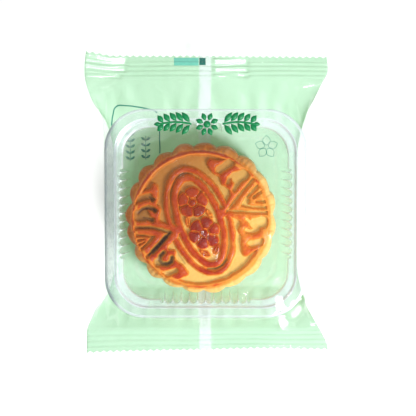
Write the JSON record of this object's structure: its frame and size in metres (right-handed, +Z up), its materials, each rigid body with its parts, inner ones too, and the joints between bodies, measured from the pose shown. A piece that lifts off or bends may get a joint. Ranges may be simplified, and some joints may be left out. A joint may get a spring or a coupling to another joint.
{
  "type": "wrapped mooncake",
  "caption": "Baked round mooncake in a clear plastic tray, sealed in a clear film pillow pack with a pale green printed back.",
  "frame": {"origin": "on the table, under the middle of the pack's box", "axes": "+X across the pack to the right as shown, +Y along the pack towards the upper end seal, +Z up, out of the shown side"},
  "size_m": [0.1056, 0.1301, 0.0214],
  "materials": {
    "printed_film": "glossy",
    "clear_film": "glossy",
    "clear_tray": "glossy",
    "baked_crust": "satin",
    "print_ink": "satin"
  },
  "bodies": {
    "root": {"wrapper": "printed_film"}
  },
  "joints": []
}
